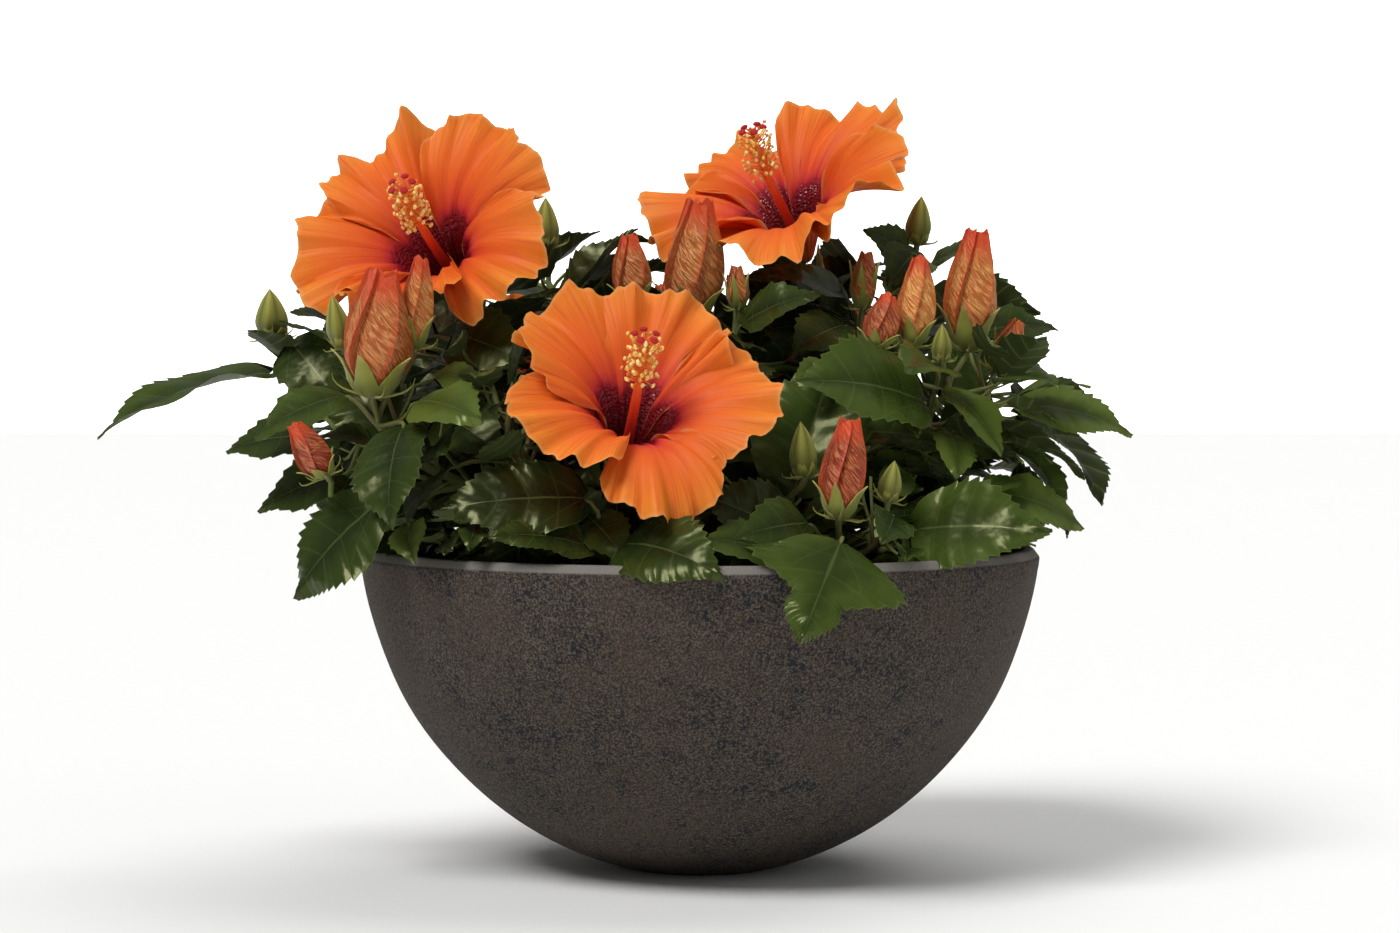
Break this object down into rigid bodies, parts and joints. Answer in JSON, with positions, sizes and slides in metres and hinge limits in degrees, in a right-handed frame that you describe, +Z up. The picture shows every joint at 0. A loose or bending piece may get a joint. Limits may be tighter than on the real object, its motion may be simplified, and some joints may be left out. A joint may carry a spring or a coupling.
{
  "type": "potted hibiscus",
  "caption": "Flowering hibiscus shrub with broad orange blooms, furled buds and toothed leaves, growing in a wide round bowl planter that stands on its flat foot.",
  "frame": {"origin": "middle of the bowl's flat underside", "axes": "Z up, minus Y toward the front that the large low bloom faces, X to the viewer's right"},
  "size_m": [0.451, 0.3376, 0.3354],
  "materials": {
    "bowl": "matte grained composite",
    "soil": "damp crumbled compost",
    "bark": "grey-brown bark",
    "foliage": "semi-gloss leaf",
    "petals": "soft petal"
  },
  "bodies": {
    "root": {"bowl": "bowl", "soil": "soil", "trunk": "bark", "bough_left_front": "bark", "bough_left_back": "bark", "bough_front_left": "bark", "bough_front_middle": "bark", "bough_front_right": "bark", "bough_right_low": "bark", "bough_right": "bark", "bough_back_right": "bark", "bough_back_low": "bark", "bough_back_middle": "bark", "bough_back_left": "bark", "bough_centre": "bark", "shoot_left_front": "foliage", "shoot_left_back": "foliage", "shoot_front_left": "foliage", "shoot_front_middle": "foliage", "shoot_front_right": "foliage", "shoot_right_low": "foliage", "shoot_right": "foliage", "shoot_back_right": "foliage", "shoot_back_low": "foliage", "shoot_back_middle": "foliage", "shoot_back_left": "foliage", "shoot_centre": "foliage", "bloom_front": "petals", "bloom_left": "petals", "bloom_upper_right": "petals", "bloom_rear_left": "petals", "bloom_rear_right": "petals"}
  },
  "joints": []
}
